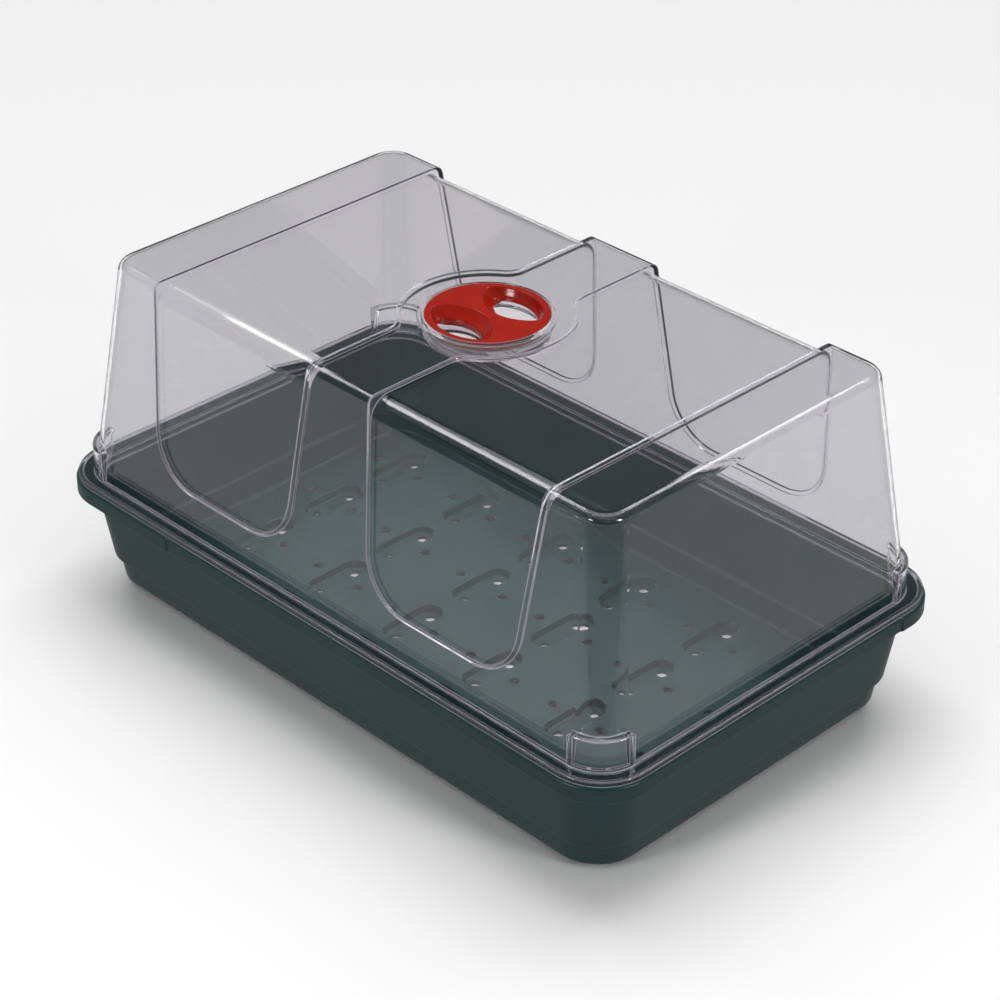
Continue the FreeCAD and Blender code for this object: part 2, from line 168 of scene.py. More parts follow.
def ring_plan(half_x, half_y, radius, side_x, side_y):
    """Closed rounded rectangle as plan points, anticlockwise from where the -Y side meets its +X corner.

    side_x and side_y are the places of the points along the straight sides, in growing order. Every corner
    is a quarter circle, and a radius of zero gathers its points in one place.
    """
    flat_x, flat_y = half_x - radius, half_y - radius
    quarter = np.linspace(0, math.pi / 2, CORNER_STEPS + 1)
    right = np.stack([np.full(len(side_y), half_x), side_y], 1)
    far = np.stack([-side_x, np.full(len(side_x), half_y)], 1)
    corners = (((flat_x, -flat_y), right), ((flat_x, flat_y), far),
               ((-flat_x, flat_y), -right), ((-flat_x, -flat_y), -far))
    parts = []
    for turn, (centre, side) in enumerate(corners):
        arc = quarter - math.pi / 2 + turn * math.pi / 2
        parts.append(np.array(centre) + radius * np.stack([np.cos(arc), np.sin(arc)], 1))
        parts.append(side[1:-1])
    plan = np.concatenate(parts)
    return np.concatenate([plan, plan[:1]])


# ------------------------------------------------------------------ seed tray

WELL_COLUMNS, WELL_ROWS = 6, 4
WELL_PITCH_X, WELL_PITCH_Y = 56.333, 47.2
WELL_REACH = 11.5           # from a well's middle to the centre of its round end
WELL_SIDE = np.array([-11.5, -8.25, -5.0, -3.33, -1.67, 0.0, 1.67, 3.33, 5.0, 8.25, 11.5])
FLOOR_TOP, FLOOR_UNDER = 5.8, 4.0
FIELD_X, FIELD_Y = 160.5, 91.8   # half size of the field of wells
STRIP = 9.6                 # half width of the strip that holds a well
DRAIN_RADIUS = 2.5
DRAIN_PLACE_X, DRAIN_PLACE_Y = 14.85, 11.7   # of the drains beside a well and of those in it
DRAIN_SQUARE = 5.0          # half side of the square round a drain beside a well
DRAIN_GUIDE = 6.0           # half width of the slot end that the points round a drain in a well follow
DRAIN_BREAK = 0.3           # broken edge of a drain
FOOT_BREAK = 0.25           # broken edge of a drain under a well
END_STEPS = 16              # segments round a well's end
CUT_STEPS = 4               # segments across a well's middle
SHARE_STEPS = 4             # segments from a strip to the limit of its well's share of the floor
RING_ROWS = 2               # rows of faces from an outline to the next one in a level face
CORNER_STEPS = 14           # segments round a corner of the tray

# half width and height of the slots that a well is made of, down its inside and down its outside
WELL_INSIDE = [(7.25, 5.8), (7.0, 5.79), (6.75, 5.68), (6.6, 5.45), (6.52, 5.1), (6.1, 2.9), (5.98, 2.35),
               (5.8, 2.0), (5.45, 1.83), (5.15, 1.8)]
WELL_OUTSIDE = [(8.95, 4.0), (8.6, 3.97), (8.3, 3.8), (8.1, 3.4), (7.55, 0.75), (7.4, 0.3), (7.15, 0.06),
                (6.85, 0.0), (6.6, 0.0)]


def slot_loop(half_width):
    """Outline of a round-ended slot along Y: half a circle at each end joined by straight sides."""
    turn = np.linspace(0, math.pi, END_STEPS + 1)
    far = np.stack([half_width * np.cos(turn), WELL_REACH + half_width * np.sin(turn)], 1)
    left = np.stack([np.full(len(WELL_SIDE), -half_width), WELL_SIDE[::-1]], 1)
    return np.concatenate([far, left[1:], -far[1:], -left[1:]])


def box_loop(half_width, low, high):
    """Outline of the strip round a slot, with one point for each of the slot's points."""
    quarter = END_STEPS // 4
    rise = np.linspace(WELL_REACH, high, quarter + 1)
    drop = np.linspace(-WELL_REACH, low, quarter + 1)
    across = np.linspace(half_width, -half_width, END_STEPS // 2 + 1)
    parts = [
        np.stack([np.full(quarter + 1, half_width), rise], 1),
        np.stack([across, np.full(len(across), high)], 1)[1:],
        np.stack([np.full(quarter + 1, -half_width), rise[::-1]], 1)[1:],
        np.stack([np.full(len(WELL_SIDE), -half_width), WELL_SIDE[::-1]], 1)[1:],
        np.stack([np.full(quarter + 1, -half_width), drop], 1)[1:],
        np.stack([-across, np.full(len(across), low)], 1)[1:],
        np.stack([np.full(quarter + 1, half_width), drop[::-1]], 1)[1:],
        np.stack([np.full(len(WELL_SIDE), half_width), WELL_SIDE], 1)[1:],
    ]
    return np.concatenate(parts)


def circle_to(loop, centre, radius):
    """Circle with a point for each of a loop's points, shared out by length from the direction of the first."""
    step = np.linalg.norm(np.diff(loop, axis=0), axis=1)
    share = np.concatenate([[0], np.cumsum(step)]) / step.sum()
    start = math.atan2(loop[0, 1] - centre[1], loop[0, 0] - centre[0])
    turn = start + 2 * math.pi * share
    return centre + radius * np.stack([np.cos(turn), np.sin(turn)], 1)


def half_slot_loop(half_width, side):
    """Outline of one end of a slot cut across its middle, anticlockwise."""
    turn = np.linspace(0, math.pi, END_STEPS + 1)
    arc = np.stack([half_width * np.cos(turn), WELL_REACH + half_width * np.sin(turn)], 1)
    down = WELL_SIDE[::-1][:len(WELL_SIDE) // 2 + 1]
    left = np.stack([np.full(len(down), -half_width), down], 1)[1:]
    across = np.stack([np.linspace(-half_width, half_width, CUT_STEPS + 1), np.zeros(CUT_STEPS + 1)], 1)[1:]
    right = np.stack([np.full(len(down), half_width), down[::-1]], 1)[1:]
    return np.concatenate([arc, left, across, right]) * side


def floor_patch(skin, place, limits, upper):
    """One well's share of the floor, its upper or under face.

    The well is a stack of slot outlines that shrink as they sink, the strip round it runs from the widest
    slot to a box, and each drain is the inner edge of a ring.
    """
    left, right, low, high = limits
    if upper:
        level, section, foot_break, sink = FLOOR_TOP, WELL_INSIDE, DRAIN_BREAK, -1
    else:
        level, section, foot_break, sink = FLOOR_UNDER, WELL_OUTSIDE, FOOT_BREAK, 1
    inner, foot = section[-1]

    def lay(plan, height):
        return at_height(plan + place, height)

    outer = box_loop(STRIP, low, high)
    edge = slot_loop(section[0][0])
    skin.add(between(lay(outer, level), lay(edge, level), RING_ROWS), not upper)
    skin.add(np.stack([lay(slot_loop(width), height) for width, height in section]), not upper)
    for side in (1, -1):
        loop = half_slot_loop(inner, side)
        centre = np.array([0.0, side * DRAIN_PLACE_Y])
        guide = half_slot_loop(DRAIN_GUIDE, side)
        ring = circle_to(guide, centre, DRAIN_RADIUS + foot_break)
        bore = circle_to(guide, centre, DRAIN_RADIUS)
        skin.add(between(lay(loop, foot), lay(ring, foot), RING_ROWS), not upper)
        skin.add(between(lay(ring, foot), lay(bore, foot + sink * foot_break), 1), not upper)
        if upper:
            skin.add(between(lay(bore, foot - foot_break), lay(bore, FOOT_BREAK), 1))
    middle = WELL_SIDE[np.abs(WELL_SIDE) <= DRAIN_SQUARE]
    rise = np.linspace(WELL_REACH, high, END_STEPS // 4 + 1)[1:]
    drop = np.linspace(low, -WELL_REACH, END_STEPS // 4 + 1)[:-1]
    ys_high = np.concatenate([WELL_SIDE[WELL_SIDE >= DRAIN_SQUARE], rise])
    ys_low = np.concatenate([drop, WELL_SIDE[WELL_SIDE <= -DRAIN_SQUARE]])
    for side, reach in ((-1, left), (1, right)):
        near, far = side * STRIP, side * reach
        xs = np.linspace(near, far, SHARE_STEPS + 1)
        for ys in (ys_high, ys_low):
            plan = np.stack(np.meshgrid(xs, ys, indexing="xy"), -1)
            sheet = np.concatenate([plan + place, np.full(plan.shape[:2] + (1,), level)], -1)
            skin.add(sheet, upper == (side < 0))
        square = np.concatenate([
            np.stack([np.full(len(middle), far), middle * side], 1),
            np.stack([xs[::-1], np.full(len(xs), DRAIN_SQUARE * side)], 1)[1:],
            np.stack([np.full(len(middle), near), -middle * side], 1)[1:],
            np.stack([xs, np.full(len(xs), -DRAIN_SQUARE * side)], 1)[1:],
        ])
        centre = np.array([side * DRAIN_PLACE_X, 0.0])
        ring = circle_to(square, centre, DRAIN_RADIUS + DRAIN_BREAK)
        bore = circle_to(square, centre, DRAIN_RADIUS)
        skin.add(between(lay(square, level), lay(ring, level), RING_ROWS), not upper)
        skin.add(between(lay(ring, level), lay(bore, level + sink * DRAIN_BREAK), 1), not upper)
        if upper:
            skin.add(between(lay(bore, level - DRAIN_BREAK), lay(bore, FLOOR_UNDER + DRAIN_BREAK), 1))


def well_fields():
    """Each well's middle and how far its share of the floor reaches: left, right, low, high."""
    for column in range(WELL_COLUMNS):
        for row in range(WELL_ROWS):
            x = (column - (WELL_COLUMNS - 1) / 2) * WELL_PITCH_X
            y = (row - (WELL_ROWS - 1) / 2) * WELL_PITCH_Y
            left = FIELD_X + x if column == 0 else WELL_PITCH_X / 2
            right = FIELD_X - x if column == WELL_COLUMNS - 1 else WELL_PITCH_X / 2
            low = -FIELD_Y - y if row == 0 else -WELL_PITCH_Y / 2
            high = FIELD_Y - y if row == WELL_ROWS - 1 else WELL_PITCH_Y / 2
            yield (x, y), (left, right, low, high)


def field_edges():
    """Places of the floor's points along the two sides of the field of wells."""
    xs, ys = [-FIELD_X], [-FIELD_Y]
    for (x, y), (left, right, low, high) in well_fields():
        if low != -WELL_PITCH_Y / 2:
            xs.extend(x + np.linspace(-left, -STRIP, SHARE_STEPS + 1)[1:])
            xs.extend(x + np.linspace(-STRIP, STRIP, END_STEPS // 2 + 1)[1:])
            xs.extend(x + np.linspace(STRIP, right, SHARE_STEPS + 1)[1:])
        if left != WELL_PITCH_X / 2:
            ys.extend(y + np.linspace(low, -WELL_REACH, END_STEPS // 4 + 1)[1:])
            ys.extend(y + WELL_SIDE[1:])
            ys.extend(y + np.linspace(WELL_REACH, high, END_STEPS // 4 + 1)[1:])
    return np.array(xs), np.array(ys)


TRAY_WALL = 1.6
RIM_WIDTH = 7.4             # from the skirt's face to the wall's, at the rim
RIM_THICKNESS = 1.8         # of the rim and its skirt
SKIRT_DEPTH = 8.2
SKIRT_CORNER, WALL_CORNER = 28.0, 23.0   # plan radii of the corners
WALL_DRAFT = 6.9            # degrees
LEDGE_WIDTH, LEDGE_HEIGHT = 1.9, 17.5
STEP_X, STEP_Y = 101.5, 83.8     # where the skirt steps out to its corners, from the tray's middle
STEP_NEAR_X, STEP_NEAR_Y = 101.0, 85.5   # place in the field of wells whose points go to the step
STEP_DEPTH, STEP_RAMP = 0.8, 0.9
STEP_HOLD = 1.7             # from a step's middle to the points that keep it steep
STEP_FADE_END, STEP_FADE = 2.1, 0.6   # set-in at which the step is lost in the rim's top, and over how far
TOUCH = 0.01                # how near a point is to a side that it lies on


def notch_places(places, field, near_place, flat, step):
    """Places along a wall, -1 to 1, drawn together where the skirt steps from its middle to its corners."""
    positive = places[places >= 0]
    near = positive[np.argsort(np.abs(positive - near_place))[:4]]
    near.sort()
    knots = np.concatenate([[0], near, [field]])
    ramp_half = STEP_RAMP / 2
    stops = np.array([0, step - STEP_HOLD, step - ramp_half, step + ramp_half, step + STEP_HOLD, flat])
    warped = np.interp(np.abs(places), knots, stops) * np.sign(places)
    return warped / flat


def seed_tray_surface(skin, size):
    """Walls, ledge, rim and skirt: a section carried round a rounded rectangle.

    The section runs from the floor's underside, up the outer wall and its ledge, under the rim, round the
    skirt, over the rim and down the inside to the floor. The skirt's outer face is set back between the
    corners by a step that is a steep ramp.
    """
    half_x, half_y, height = size
    slope = math.tan(math.radians(WALL_DRAFT))

    def wall(z):
        """Set-in of the outer wall above its ledge, at a height."""
        return RIM_WIDTH + (height - z) * slope

    rim_under, skirt_foot = height - RIM_THICKNESS, height - SKIRT_DEPTH
    ledge_top = LEDGE_HEIGHT + TRAY_WALL
    skirt_inside, wall_inside = SKIRT_CORNER - RIM_THICKNESS, WALL_CORNER - TRAY_WALL
    section = rounded_profile([
        (21.5, FLOOR_UNDER, 19.0, 0),
        (wall(FLOOR_UNDER) + LEDGE_WIDTH, FLOOR_UNDER, WALL_CORNER, 5.0),
        (wall(LEDGE_HEIGHT) + LEDGE_WIDTH, LEDGE_HEIGHT, WALL_CORNER, 0.9),
        (wall(LEDGE_HEIGHT), LEDGE_HEIGHT, WALL_CORNER, 1.3),
        (wall(rim_under), rim_under, WALL_CORNER, 0.8),
        (RIM_THICKNESS, rim_under, skirt_inside, 0.6),
        (RIM_THICKNESS, skirt_foot, skirt_inside, 0.55),
        (0.0, skirt_foot, SKIRT_CORNER, 0.75),
        (0.0, height, SKIRT_CORNER, 1.5),
        (wall(height) + TRAY_WALL, height, wall_inside, 1.0),
        (wall(ledge_top) + TRAY_WALL, ledge_top, wall_inside, 0.9),
        (wall(ledge_top) + LEDGE_WIDTH + TRAY_WALL, ledge_top, wall_inside, 1.4),
        (wall(FLOOR_TOP) + LEDGE_WIDTH + TRAY_WALL, FLOOR_TOP, wall_inside, 3.4),
        (21.4, FLOOR_TOP, 18.6, 0),
    ])
    edge_x, edge_y = field_edges()
    along_x = notch_places(edge_x, FIELD_X, STEP_NEAR_X, half_x - SKIRT_CORNER, STEP_X)
    along_y = notch_places(edge_y, FIELD_Y, STEP_NEAR_Y, half_y - SKIRT_CORNER, STEP_Y)
    plans = []
    for set_in, level, radius in section:
        side_x = along_x * (half_x - set_in - radius)
        side_y = along_y * (half_y - set_in - radius)
        plan = ring_plan(half_x - set_in, half_y - set_in, radius, side_x, side_y)
        if level > skirt_foot - TOUCH:
            set_back = STEP_DEPTH * np.clip((STEP_FADE_END - set_in) / STEP_FADE, 0, 1)
            middle_x = np.clip((STEP_X + STEP_RAMP / 2 - np.abs(plan[:, 0])) / STEP_RAMP, 0, 1)
            middle_y = np.clip((STEP_Y + STEP_RAMP / 2 - np.abs(plan[:, 1])) / STEP_RAMP, 0, 1)
            on_long = np.abs(plan[:, 1]) > half_y - set_in - TOUCH
            on_short = np.abs(plan[:, 0]) > half_x - set_in - TOUCH
            plan[:, 1] -= np.sign(plan[:, 1]) * set_back * middle_x * on_long
            plan[:, 0] -= np.sign(plan[:, 0]) * set_back * middle_y * on_short
        plans.append(at_height(plan, level))
    walls = np.stack(plans)
    skin.add(walls)
    field = ring_plan(FIELD_X, FIELD_Y, 0.0, edge_x, edge_y)
    skin.add(between(at_height(field, FLOOR_UNDER), walls[0], 1))
    skin.add(between(walls[-1], at_height(field, FLOOR_TOP), 1))


# ------------------------------------------------------------------ vent disc

PLATE_TOP = 181.1
PLATE_UNDER = PLATE_TOP - 5.3    # bottom of the pockets' slopes
PLATE_RADIUS = 29.7
REST_TURN = math.radians(-7.5)
GRIP_STEPS, TIP_STEPS, RIM_STEPS = 28, 12, 24   # segments of a pocket's outline along each of its arcs
HUB_STEPS = 48

POCKET_RIM, POCKET_TIP = 26.2, 5.0   # radii of a pocket's outer side and of its tips, at its mouth
GRIP_ARC, GRIP_HALF = 22.5, 2.5      # radius of a pocket's side along the grip, and half the grip's width
ARC_SHRINK = 0.6            # how much the grip's arc shrinks for each millimetre of inset
LEAN_REACH, LEAN_TIP = 2.6, 0.5      # how far the full lean moves the grip's side and shrinks the tips
POCKET_FOOT = (23.5, 17.6, 25.5, 4.3)   # outline at the foot of a pocket's wall, as lens_loop takes it
POCKET_BACK = (24.8, 18.9, 25.5, 5.6)   # the same round the wall's back
WALL_LEAST, WALL_MORE = 0.25, 2.4    # a pocket wall's depth at the rim, and what the grip's side adds to it
WALL_ROWS = (0.33, 0.66, 1.0)
DISC_UNDER = PLATE_UNDER - WALL_LEAST

# inset, drop and lean of the outlines down a pocket's slope
POCKET_SLOPE = [(-0.75, 0.0, 0.0), (-0.5, 0.02, 0.0), (-0.15, 0.15, 0.0), (0.1, 0.42, 0.02),
                (0.3, 0.85, 0.08), (0.5, 1.35, 0.18), (1.05, 2.7, 0.5), (1.6, 3.7, 0.78),
                (2.0, 4.3, 0.93), (2.35, 4.6, 1.0), (2.5, 4.85, 1.05), (2.6, 5.3, 1.08)]
# inset from the disc's radius and drop from its face, over the rim and under it
RIM_SECTION = [(0.8, 0.0), (0.5, 0.03), (0.22, 0.15), (0.05, 0.38), (0.0, 0.7), (0.0, 1.9), (0.1, 2.15),
               (0.3, 2.25), (1.9, 2.25), (1.9, 5.2), (2.05, 5.45), (2.4, 5.55)]
# radius and height round the hub, its snap lip and its core
HUB_SECTION = [(0.0, 177.4), (4.0, 177.4), (4.0, 170.6), (4.15, 170.4), (4.75, 170.4), (4.88, 170.2),
               (3.2, 167.5), (3.05, 167.4), (2.3, 167.4), (2.2, 167.5), (2.2, 174.8), (0.0, 174.8)]


def lens_loop(rim_radius, arc_radius, arc_centre, tip):
    """Pocket outline: the lens common to a circle about the disc's middle and a circle behind the grip.

    Both tips are arcs tangent to the two circles. Runs anticlockwise from the left end of the grip's side.
    """
    a, b = rim_radius - tip, arc_radius - tip
    y = (a * a - b * b + arc_centre ** 2) / (2 * arc_centre)
    x = math.sqrt(a * a - y * y)
    low = math.atan2(y - arc_centre, x)
    high = math.atan2(y, x)
    grip = np.linspace(-math.pi - low, low, GRIP_STEPS + 1)
    right = np.linspace(low, high, TIP_STEPS + 1)
    rim = np.linspace(high, math.pi - high, RIM_STEPS + 1)
    left = np.linspace(math.pi - high, math.pi - low, TIP_STEPS + 1)

    def arc(centre, radius, turn):
        return np.array(centre) + radius * np.stack([np.cos(turn), np.sin(turn)], 1)

    return np.concatenate([arc((0, arc_centre), arc_radius, grip), arc((x, y), tip, right)[1:],
                           arc((0, 0), rim_radius, rim)[1:], arc((-x, y), tip, left)[1:]])


def half_disc_loop(radius):
    """Half a disc's outline with one point for each of a pocket outline's points."""
    across = np.stack([np.linspace(-radius, radius, GRIP_STEPS + 1), np.zeros(GRIP_STEPS + 1)], 1)
    turn = np.linspace(0, math.pi, 2 * TIP_STEPS + RIM_STEPS + 1)[1:]
    return np.concatenate([across, radius * np.stack([np.cos(turn), np.sin(turn)], 1)])


def grip_share():
    """Number for each point of a pocket's outline: 1 along the grip, 0 along the rim, smooth between them."""
    share = np.concatenate([np.ones(GRIP_STEPS + 1), np.linspace(1, 0, TIP_STEPS + 1)[1:],
                            np.zeros(RIM_STEPS), np.linspace(0, 1, TIP_STEPS + 1)[1:]])
    return share * share * (3 - 2 * share)


def spun(loop, angle):
    """Points turned about the vent's middle."""
    turn = np.array([[math.cos(angle), math.sin(angle)], [-math.sin(angle), math.cos(angle)]])
    return loop @ turn


def vent_surface(skin):
    """Disc with two finger pockets and a grip bar between them.

    Each pocket is a stack of lens outlines that shrink as they sink: a rolled lip, a slope that runs further
    in on the grip's side, a crease, and a wall whose depth fades from the grip's side to the rim.
    """
    share = grip_share()
    for turn in (REST_TURN, REST_TURN + math.pi):
        rows = []
        for inset, drop, lean in POCKET_SLOPE:
            arc_radius = GRIP_ARC - ARC_SHRINK * inset - LEAN_REACH * lean
            edge = GRIP_HALF + inset + LEAN_REACH * lean
            loop = lens_loop(POCKET_RIM - inset, arc_radius, edge + arc_radius, POCKET_TIP - LEAN_TIP * lean)
            rows.append(at_height(spun(loop, turn), PLATE_TOP - drop))
        foot = spun(lens_loop(*POCKET_FOOT), turn)
        for depth in WALL_ROWS:
            rows.append(at_height(foot, PLATE_UNDER - depth * (WALL_LEAST + WALL_MORE * share)))
        back = spun(lens_loop(*POCKET_BACK), turn)
        rows.append(at_height(back, DISC_UNDER - WALL_MORE * share))
        rows.append(at_height(back, DISC_UNDER))
        top = at_height(spun(half_disc_loop(PLATE_RADIUS - RIM_SECTION[0][0]), turn), PLATE_TOP)
        skin.add(np.concatenate([top[None], np.stack(rows)]))
        under = at_height(spun(half_disc_loop(PLATE_RADIUS - RIM_SECTION[-1][0]), turn), DISC_UNDER)
        skin.add(np.stack([rows[-1], under]))
    half = half_disc_loop(1.0)[GRIP_STEPS:]
    whole = spun(np.concatenate([half, -half[1:]]), REST_TURN)
    rim = [at_height(whole * (PLATE_RADIUS - inset), PLATE_TOP - drop) for inset, drop in RIM_SECTION]
    skin.add(np.stack(rim), True)
    turn = np.linspace(0, 2 * math.pi, HUB_STEPS + 1)
    ring = np.stack([np.cos(turn), np.sin(turn)], 1)
    skin.add(np.stack([at_height(ring * radius, level) for radius, level in HUB_SECTION]), True)


# ------------------------------------------------------------------ finishes

def shader(name, settings):
    """New material whose Principled shader takes these constants on its own sockets."""
    material = bpy.data.materials.new(name)
    material.use_nodes = True
    surface = material.node_tree.nodes["Principled BSDF"]
    for socket, value in settings.items():
        surface.inputs[socket].default_value = value
    return material, material.node_tree, surface


def add_node(tree, kind, inputs=None, **settings):
    """New node with its settings, its constant inputs and its links; a socket as an input makes a link."""
    node = tree.nodes.new(kind)
    for key, value in settings.items():
        setattr(node, key, value)
    for key, value in (inputs or {}).items():
        if isinstance(value, bpy.types.NodeSocket):
            tree.links.new(value, node.inputs[key])
        else:
            node.inputs[key].default_value = value
    return node


def ramp(tree, source, low, high, low_value, high_value):
    """Number that goes from low_value to high_value as source goes from low to high."""
    node = add_node(tree, "ShaderNodeMapRange", {"Value": source, "From Min": low, "From Max": high,
                                                 "To Min": low_value, "To Max": high_value})
    return node.outputs["Result"]


def noise(tree, place, scale, detail):
    """Noise from 0 to 1 over the places of a surface."""
    inputs = {"Vector": place, "Scale": scale, "Detail": detail}
    return add_node(tree, "ShaderNodeTexNoise", inputs).outputs["Fac"]


def blend(tree, factor, first, second):
    """Colour that goes from first to second as factor goes from 0 to 1; a socket as a colour makes a link."""
    node = add_node(tree, "ShaderNodeMix", {"Factor": factor, 6: first, 7: second}, data_type="RGBA")
    return node.outputs[2]


def shade_of(colour, share):
    """Opaque colour with a share of another one's brightness."""
    return (*[share * channel for channel in colour], 1.0)


def tray_finish(colour):
    """Dark green moulded plastic: a faint mottle, a fine satin grain and a few specks of dust."""
    material, tree, surface = shader("tray_plastic", {"IOR": 1.49})
    place = add_node(tree, "ShaderNodeTexCoord").outputs["Object"]
    mottle = noise(tree, place, 22.0, 4.0)
    grain = noise(tree, place, 1400.0, 3.0)
    specks = add_node(tree, "ShaderNodeTexVoronoi", {"Vector": place, "Scale": 55.0, "Randomness": 1.0})
    dust = ramp(tree, specks.outputs["Distance"], 0.02, 0.035, 1.0, 0.0)
    rare = add_node(tree, "ShaderNodeSeparateColor", {"Color": specks.outputs["Color"]}).outputs["Red"]
    some = ramp(tree, rare, 0.90, 0.92, 0.0, 0.55)
    dusty = add_node(tree, "ShaderNodeMath", {0: dust, 1: some}, operation="MULTIPLY").outputs[0]
    lightness = ramp(tree, mottle, 0.3, 0.7, 0.0, 1.0)
    plain = blend(tree, lightness, shade_of(colour, 0.86), shade_of(colour, 1.14))
    dusted = blend(tree, dusty, plain, (0.5, 0.52, 0.5, 1.0))
    tree.links.new(dusted, surface.inputs["Base Color"])
    tree.links.new(ramp(tree, mottle, 0.3, 0.7, 0.30, 0.38), surface.inputs["Roughness"])
    bump = add_node(tree, "ShaderNodeBump", {"Height": grain, "Strength": 0.006, "Distance": 0.0001})
    tree.links.new(bump.outputs["Normal"], surface.inputs["Normal"])
    return material


def clear_finish(tint, painted_corner_light):
    """Clear moulded plastic with a faint ripple; lamps shine through it to what it covers.

    Light that runs inside the walls comes out at the moulded corners; it is painted there, as a paler colour
    that lets less through.
    """
    material, tree, surface = shader("clear_plastic", {"Roughness": 0.01, "IOR": 1.18, "Coat Weight": 1.0,
                                                       "Coat IOR": 1.55, "Coat Roughness": 0.03})
    rounded = add_node(tree, "ShaderNodeBevel", {"Radius": 1.0 * MM}, samples=4).outputs[0]
    flat = add_node(tree, "ShaderNodeNewGeometry").outputs["True Normal"]
    along = add_node(tree, "ShaderNodeVectorMath", {0: rounded, 1: flat}, operation="DOT_PRODUCT")
    # painted light: the corner mask gives the rounded corners a paler painted colour and less transmission,
    # standing in for light that leaves the walls there
    corner = ramp(tree, along.outputs["Value"], 0.995, 0.93, 0.0, 1.0)
    colour = blend(tree, corner, (*tint, 1.0), (*painted_corner_light, 1.0))
    tree.links.new(colour, surface.inputs["Base Color"])
    tree.links.new(ramp(tree, corner, 0.0, 1.0, 1.0, 0.45), surface.inputs["Transmission Weight"])
    place = add_node(tree, "ShaderNodeTexCoord").outputs["Object"]
    ripple = noise(tree, place, 9.0, 1.0)
    bump = add_node(tree, "ShaderNodeBump", {"Height": ripple, "Strength": 0.03, "Distance": 0.002})
    tree.links.new(bump.outputs["Normal"], surface.inputs["Normal"])
    rays = add_node(tree, "ShaderNodeLightPath")
    lamp = add_node(tree, "ShaderNodeBsdfTransparent", {"Color": (*tint, 1.0)})
    mixed = add_node(tree, "ShaderNodeMixShader", {0: rays.outputs["Is Shadow Ray"]})
    tree.links.new(surface.outputs[0], mixed.inputs[1])
    tree.links.new(lamp.outputs[0], mixed.inputs[2])
    tree.links.new(mixed.outputs[0], tree.nodes["Material Output"].inputs["Surface"])
    return material


def vent_finish(colour):
    """Red moulded plastic: a fine matt grain on the flat face, gloss in the pockets."""
    material, tree, surface = shader("vent_plastic", {"IOR": 1.5})
    place = add_node(tree, "ShaderNodeTexCoord").outputs["Object"]
    height = add_node(tree, "ShaderNodeSeparateXYZ", {"Vector": place}).outputs["Z"]
    face = ramp(tree, height, (PLATE_TOP - 0.12) * MM, (PLATE_TOP - 0.02) * MM, 0.0, 1.0)
    mottle = noise(tree, place, 60.0, 3.0)
    grain = noise(tree, place, 2600.0, 2.0)
    tint = blend(tree, ramp(tree, mottle, 0.3, 0.7, 0.0, 1.0), shade_of(colour, 0.9), shade_of(colour, 1.1))
    tree.links.new(tint, surface.inputs["Base Color"])
    tree.links.new(ramp(tree, face, 0.0, 1.0, 0.16, 0.5), surface.inputs["Roughness"])
    tree.links.new(ramp(tree, face, 0.0, 1.0, 0.5, 0.2), surface.inputs["Specular IOR Level"])
    depth = ramp(tree, face, 0.0, 1.0, 0.02, 0.25)
    bump = add_node(tree, "ShaderNodeBump", {"Height": grain, "Strength": depth, "Distance": 0.0001})
    tree.links.new(bump.outputs["Normal"], surface.inputs["Normal"])
    return material


# ------------------------------------------------------------------ studio

CAMERA_BEARING = math.radians(45.444)
CAMERA_ELEVATION = math.radians(31.9586)
CAMERA_ROLL = math.radians(0.1789)
CAMERA_PLACE = Vector((0.84629, -0.82485, 0.81586))
LAMP_AIM = (0.0, 0.0, 0.06)
BACK_LIGHT_ELEVATION, BACK_LIGHT_SPREAD = 65.0, 56.0   # degrees
FLOOR_HALF = 20.0
DARK_START = Vector((0.17, -0.10, 0.0015))   # inside the tray's near corner
DARK_GAP, DARK_HALF, DARK_DEPTH = 0.23, 2.5, 4.0
NEAR_HALF, NEAR_LEVEL = 3.0, 0.0008
WALL_REACH, WALL_HEIGHT = 6.0, 5.0


def direction(bearing, elevation):
    """Unit vector from the object's middle; bearing is in degrees to the right of the camera's side."""
    turn = CAMERA_BEARING + math.radians(bearing)
    rise = math.radians(elevation)
    return Vector((math.sin(turn) * math.cos(rise), -math.cos(turn) * math.cos(rise), math.sin(rise)))


def aimed(towards):
    """Turn that points an object's -Z along minus a direction, with its X level."""
    level = Vector((0, 0, 1)).cross(towards).normalized()
    return Matrix((level, towards.cross(level), towards)).transposed()


def place_camera(focal_length):
    """Camera at its place, turned to the object and rolled a little."""
    back = direction(0.0, math.degrees(CAMERA_ELEVATION))
    turn = aimed(back) @ Matrix.Rotation(CAMERA_ROLL, 3, "Z")
    data = bpy.data.cameras.new("camera")
    data.lens = focal_length
    data.sensor_width = 36.0
    camera = bpy.data.objects.new("camera", data)
    bpy.context.scene.collection.objects.link(camera)
    camera.matrix_world = Matrix.Translation(CAMERA_PLACE) @ turn.to_4x4()
    bpy.context.scene.camera = camera


def softbox(name, bearing, elevation, distance, side, power):
    """Square soft lamp in a direction and at a distance from the object's middle, which it faces."""
    data = bpy.data.lights.new(name, "AREA")
    data.shape = "RECTANGLE"
    data.size = data.size_y = side
    data.energy = power
    lamp = bpy.data.objects.new(name, data)
    bpy.context.scene.collection.objects.link(lamp)
    towards = direction(bearing, elevation)
    lamp.matrix_world = Matrix.Translation(Vector(LAMP_AIM) + towards * distance) @ aimed(towards).to_4x4()
    return lamp


